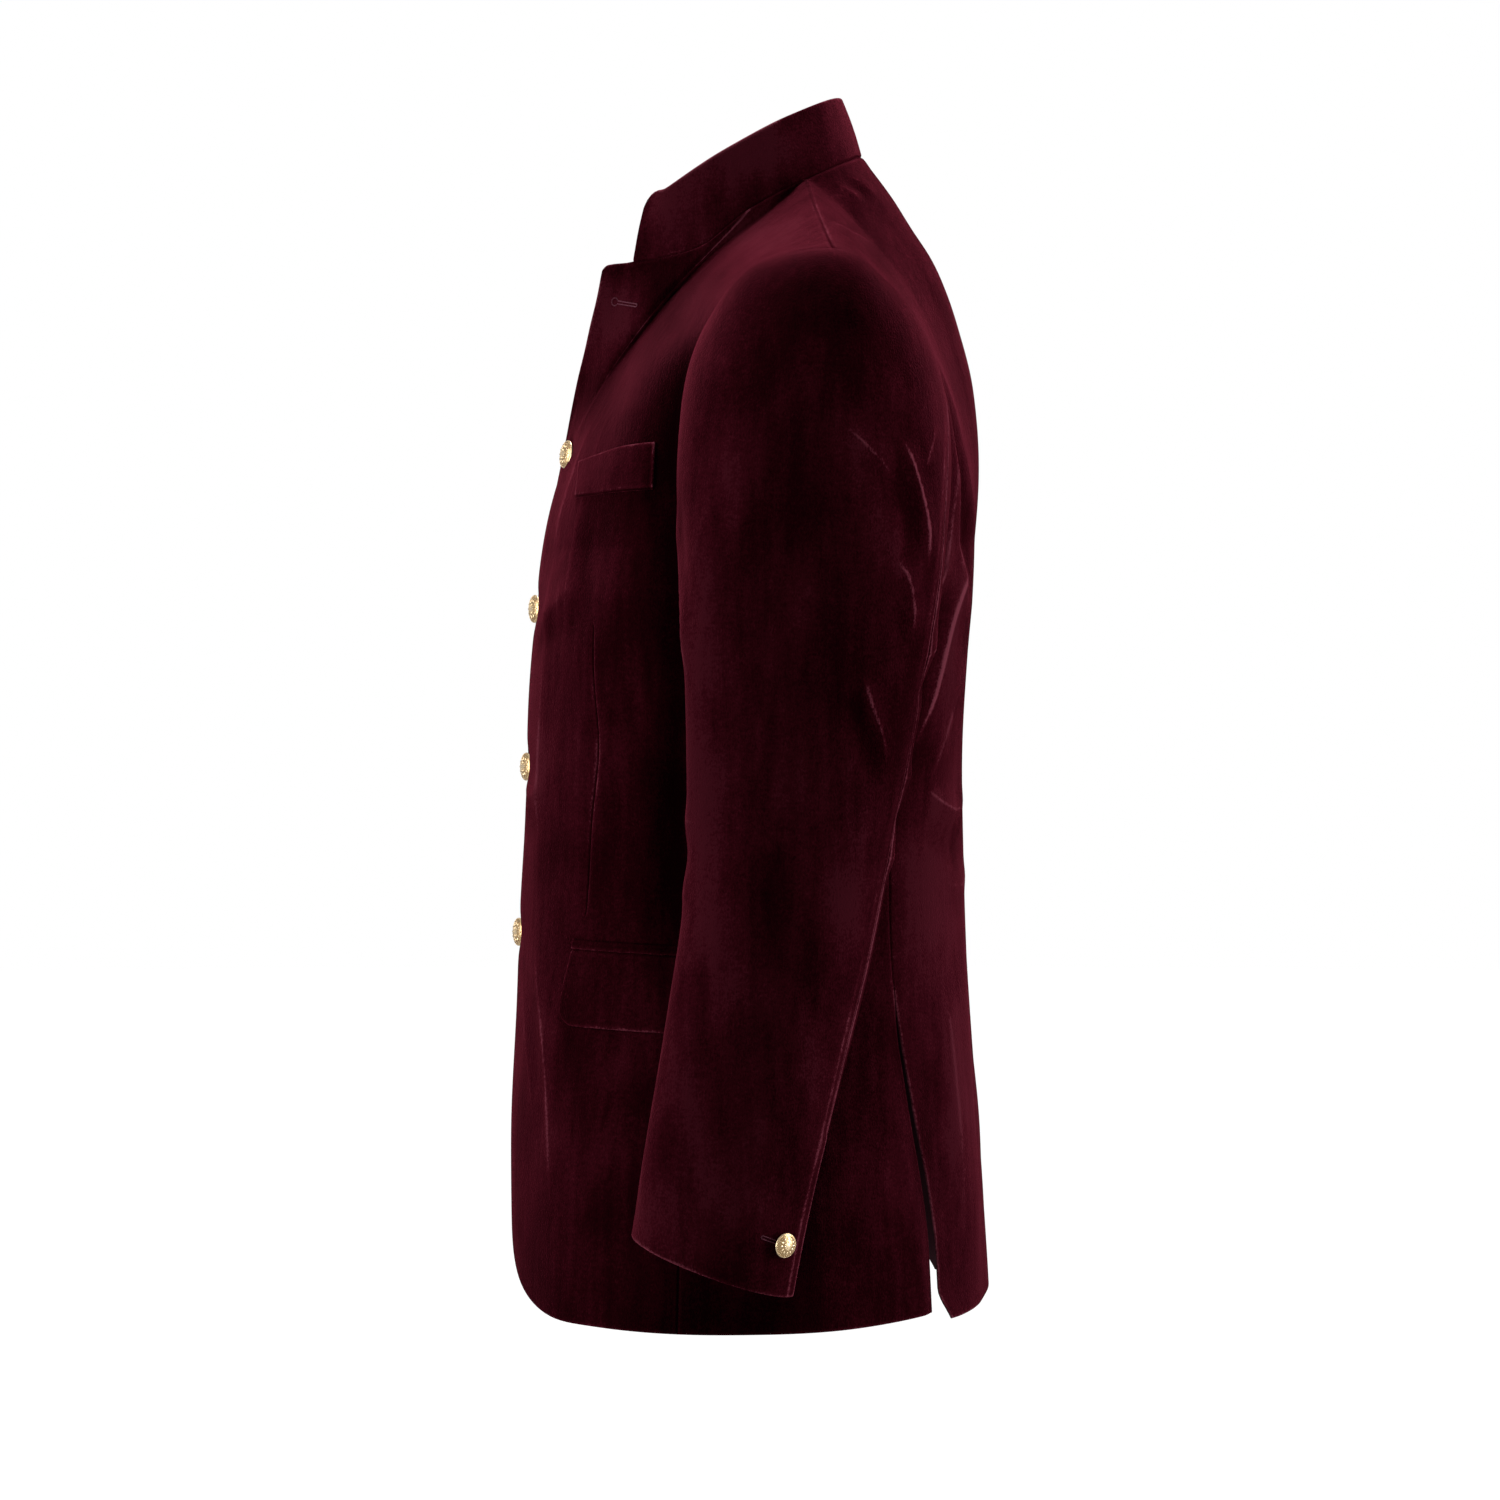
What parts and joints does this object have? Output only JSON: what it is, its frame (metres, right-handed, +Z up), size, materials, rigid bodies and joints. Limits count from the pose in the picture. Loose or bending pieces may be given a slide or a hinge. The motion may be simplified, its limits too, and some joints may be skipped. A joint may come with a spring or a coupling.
{
  "type": "nehru jacket",
  "caption": "Dark burgundy velvet nehru jacket in worn form, hollow, with a stand collar, domed metal buttons and its top button undone",
  "frame": {"origin": "middle of the neck opening, level with the neck ends of the shoulder seams", "axes": "+X towards the wearer's left, +Y towards the wearer's back, +Z up"},
  "size_m": [0.5864, 0.3184, 0.7992],
  "materials": {
    "velvet": "soft cut pile",
    "button_metal": "satin"
  },
  "bodies": {
    "root": {"front_left": "velvet", "side_left": "velvet", "back_left": "velvet", "sleeve_top_left": "velvet", "sleeve_under_left": "velvet", "hip_flap_left": "velvet", "hip_jetting_left": "velvet", "front_right": "velvet", "side_right": "velvet", "back_right": "velvet", "sleeve_top_right": "velvet", "sleeve_under_right": "velvet", "hip_flap_right": "velvet", "hip_jetting_right": "velvet", "collar": "velvet", "breast_welt": "velvet", "button_front_1": "button_metal", "button_front_2": "button_metal", "button_front_3": "button_metal", "button_front_4": "button_metal", "button_front_5": "button_metal", "button_cuff_left": "button_metal", "button_cuff_right": "button_metal"}
  },
  "joints": []
}
